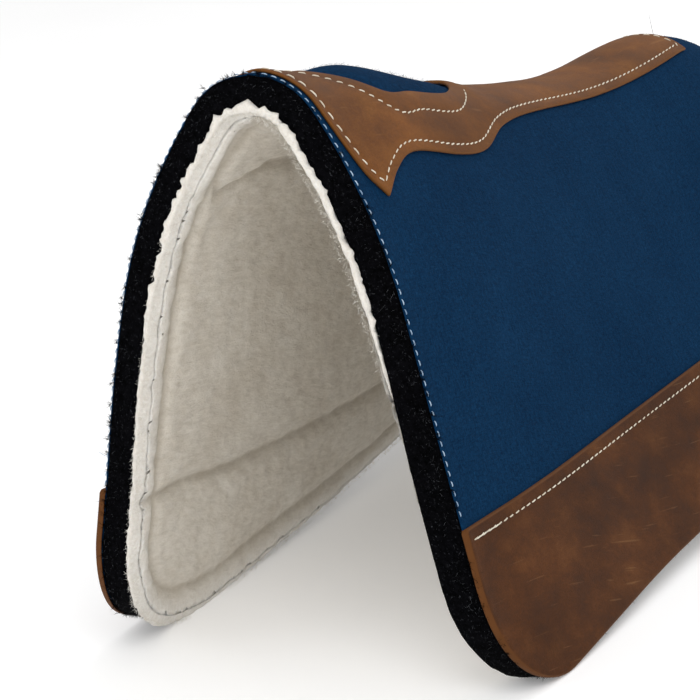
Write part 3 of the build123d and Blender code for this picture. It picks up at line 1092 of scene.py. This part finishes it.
def make_edge_threads(blue):
    """Pale blue stitches that hold the cover along the front and rear edges."""
    y, z = side_profile(1 * MM).T
    lines = []
    for side in (1, -1):
        for rear in (False, True):
            part = (z > WEAR_TOP + 3 * MM) & ((y > LENGTH / 2) == rear)
            u = along_at(y[part], z[part])
            inset = -EDGE_STITCHES if rear else EDGE_STITCHES
            lines.append((pairs(side * u, y[part] + inset), 0.15 * MM))
    obj = stitches("thread_edge", lines, EDGE_THREAD, 0.15)
    dress(obj, blue, "pale_blue_thread", "edge_seam_left", "edge_seam_right")


def make_fleece_threads(cream):
    """Quilting stitches, sunk in the lining's groove."""
    line = (closed(FLEECE_LINE), FLEECE - FLEECE_THREAD_SUNK)
    obj = stitches("thread_fleece", [line], FLEECE_THREAD)
    dress(obj, cream, "cream_thread", "fleece_seam_left", "fleece_seam_right")


def edge_roots(count, thick_low, thick_high):
    """Random spots on the cut edge between two depths, the way out of it, u and y."""
    line = closed(PAD)
    marks = rng.uniform(0, run_along(line)[-1], count)
    here, ahead = points_at(marks, line).T, points_at(marks + MM, line).T
    depth = rng.uniform(thick_low, thick_high, count)
    roots = place(*here, depth)
    along = unit(place(*ahead, depth) - roots)
    return roots, np.cross(along, outward(*here)), *here


def make_felt_fuzz(material):
    """Short fibres all over the felt's cut edge, a few of them long, some pale."""
    count = 26000
    roots, out, _, _ = edge_roots(count, COVER, FELT)
    share = rng.uniform(0, 1, count)
    directions = out + 0.9 * rng.normal(size=(count, 3))
    lengths = rng.uniform(0.8, 2.4, count) * MM
    lengths[share > 0.97] *= 1.9
    pale = rng.uniform(size=count) < 0.16
    tones = np.where(pale, rng.uniform(0.55, 1.0, count), rng.uniform(0, 0.3, count))
    fibres("felt_fuzz", material, "black_felt", roots + out * 0.8 * MM, directions, lengths,
           0.15 * MM, 0.5, tones)


def make_felt_tufts(material):
    """Tufts of felt that stand out over the cover's edge."""
    clumps, per_clump = 600, 14
    count = clumps * per_clump
    roots, out, u, y = edge_roots(clumps, COVER, COVER + 3 * MM)
    lean = 0.7 * out + 0.8 * outward(u, y) + 0.6 * rng.normal(size=(clumps, 3))
    roots = roots + outward(u, y) * 1.5 * MM
    roots = np.repeat(roots, per_clump, 0) + rng.normal(size=(count, 3)) * 0.5 * MM
    directions = np.repeat(lean, per_clump, 0) + 0.45 * rng.normal(size=(count, 3))
    lengths = rng.uniform(1.2, 3.4, count) * MM
    fibres("felt_tufts", material, "black_felt", roots, directions, lengths,
           0.28 * MM, 0.5, rng.uniform(0, 0.3, count))


def make_fleece_fuzz(material):
    """Fine cream hairs on the lining's rolled edge."""
    count = 20000
    roots, out, u, y = edge_roots(count, FELT - 1 * MM, FLEECE + 1 * MM)
    directions = out + 0.8 * rng.normal(size=(count, 3))
    lengths = rng.uniform(0.7, 1.9, count) * MM
    forward = INNER_FORWARD + 1.2 * MM - tucked(u, y)
    fibres("fleece_fuzz", material, "cream_fleece", roots + out * forward[:, None], directions,
           lengths, 0.22 * MM, 0.6, rng.uniform(0, 1, count))


def make_wool_fuzz(material):
    """Nap of the cover over the crown and in the opening."""
    count = 16000
    u = rng.uniform(-0.13, 0.13, count)
    y = rng.uniform(0.002, LENGTH - 0.002, count)
    points = pairs(u, y)
    bare = ~inside(points, SPINE_LEATHER) | inside(points, inset_loop(OPENING, MM))
    u, y = u[bare], y[bare]
    lift = np.where(inside(pairs(u, y), OPENING), -2.5 * MM, 0)
    roots = place(u, y, lift + 0.3 * MM)
    directions = outward(u, y) + 0.8 * rng.normal(size=(len(u), 3))
    lengths = rng.uniform(0.7, 2.0, len(u)) * MM
    fibres("wool_fuzz", material, "navy_wool", roots, directions, lengths,
           0.14 * MM, 0.7, rng.uniform(0, 1, len(u)))


def make_loose_threads(blue, pale):
    """Stray ends: one at the left front edge, one behind the tail, one in the opening."""
    strays = [
        ("stray_blue", blue, "pale_blue_thread", -0.285, 0.004, (-0.6, -0.5, 0.5), 9 * MM),
        ("stray_hair", pale, "black_felt", -0.006, 0.705, (-0.35, 0.1, 1.2), 16 * MM),
        ("stray_lint", pale, "black_felt", -0.012, 0.12, (-0.7, 0.2, 0.6), 6 * MM),
    ]
    for name, material, slot, u, y, lean, length in strays:
        root = place([u], [y], [-0.2 * MM])
        fibres(name, material, slot, root, np.array([lean]), np.array([length]),
               0.35 * MM, 0.45, [0.3])


# ---- Stage

def make_floor():
    """Pale paper floor that glows a little, just under the pad."""
    bpy.ops.mesh.primitive_plane_add(size=12, location=(0, LENGTH / 2, cad_box[0][2] - 1 * MM))
    floor = bpy.context.object
    floor.name = "floor"
    n = Nodes("floor_paper")
    grain = n.noise(n.add("ShaderNodeTexCoord", {}).outputs["Object"], 3, 2)
    colour = n.ramp(grain, [(0.3, (0.9, 0.9, 0.9)), (0.7, (0.92, 0.92, 0.92))])
    n.fill(n.shader, {"Emission Color": colour, "Emission Strength": 0.22})
    floor.data.materials.append(n.finish(colour, 0.9, specular=0.1))


def make_backdrop():
    """White studio surround, brighter to the camera than to the pad."""
    world = bpy.data.worlds.new("studio")
    scene.world = world
    world.use_nodes = True
    nodes, links = world.node_tree.nodes, world.node_tree.links
    background = nodes["Background"]
    background.inputs["Color"].default_value = (1, 1, 1, 1)
    rays = nodes.new("ShaderNodeLightPath")
    strength = nodes.new("ShaderNodeMapRange")
    strength.inputs["To Min"].default_value = 0.75
    strength.inputs["To Max"].default_value = 1.0
    links.new(rays.outputs["Is Camera Ray"], strength.inputs["Value"])
    links.new(strength.outputs["Result"], background.inputs["Strength"])


def make_lights():
    """Three soft boxes turned to the middle of the pad: name, position, size, power."""
    lights = [
        ("key", (0.9, -1.6, 1.5), 1.6, 26),
        ("fill", (-1.5, -1.4, 0.6), 1.4, 8),
        ("back", (0.4, 2.2, 1.4), 1.6, 14),
    ]
    target = Vector((0, LENGTH / 2, -0.15))
    for name, position, size, power in lights:
        data = bpy.data.lights.new(name, "AREA")
        data.size = size
        data.energy = power
        light = new_object(name, data)
        light.location = position
        light.rotation_euler = (target - light.location).to_track_quat("-Z", "Y").to_euler()
    scene.view_settings.view_transform = "Standard"


def make_camera():
    """Long lens, looking into the arch from the pad's front right."""
    azimuth, elevation, roll = math.radians(25.8), math.radians(14.2), math.radians(-2.95)
    distance = 1.926
    target = Vector((56.1, 0, -164.4)) * MM
    data = bpy.data.cameras.new("camera")
    data.sensor_width = 36
    data.lens = 169
    camera = new_object("camera", data)
    turned = (Matrix.Rotation(azimuth, 4, "Z") @ Matrix.Rotation(math.pi / 2 - elevation, 4, "X")
              @ Matrix.Rotation(roll, 4, "Z"))
    camera.matrix_world = Matrix.Translation(target) @ turned @ Matrix.Translation((0, 0, distance))
    scene.camera = camera


# ---- Build

wool = wool_material()
felt = felt_material()
fleece = fleece_material()
tan = leather_material("tan_leather", (0.098, 0.034, 0.006), (0.148, 0.053, 0.01),
                       (0.198, 0.08, 0.019), (0.2, 0.078, 0.02), (0.034, 0.02, 0.009))
dark = leather_material("dark_leather", (0.04, 0.0125, 0.002), (0.068, 0.022, 0.0042),
                        (0.104, 0.039, 0.0105), (0.13, 0.048, 0.013), (0.045, 0.026, 0.012))
cream = thread_material("cream_thread", (0.86, 0.8, 0.66), (0.7, 0.62, 0.48))
blue = thread_material("pale_blue_thread", (0.42, 0.56, 0.72), (0.22, 0.34, 0.5))
webbing = webbing_material()
felt_hair = hair_material("felt_hair", (0.0012, 0.0012, 0.0015), (0.16, 0.165, 0.18), 0.35)
fleece_hair = hair_material("fleece_hair", (0.78, 0.74, 0.66), (0.92, 0.9, 0.85), 0.0)
wool_hair = hair_material("wool_hair", (0.004, 0.024, 0.065), (0.014, 0.055, 0.125), 0.0)

make_cover(wool)
make_felt(felt)
make_fleece(fleece)
make_tape(webbing)
make_spine_leather(tan)
make_wear_leather(1, "right", dark)
make_wear_leather(-1, "left", dark)
make_leather_threads(cream)
make_edge_threads(blue)
make_fleece_threads(cream)
make_felt_fuzz(felt_hair)
make_felt_tufts(felt_hair)
make_fleece_fuzz(fleece_hair)
make_wool_fuzz(wool_hair)
make_loose_threads(blue, felt_hair)
make_floor()
make_backdrop()
make_lights()
make_camera()
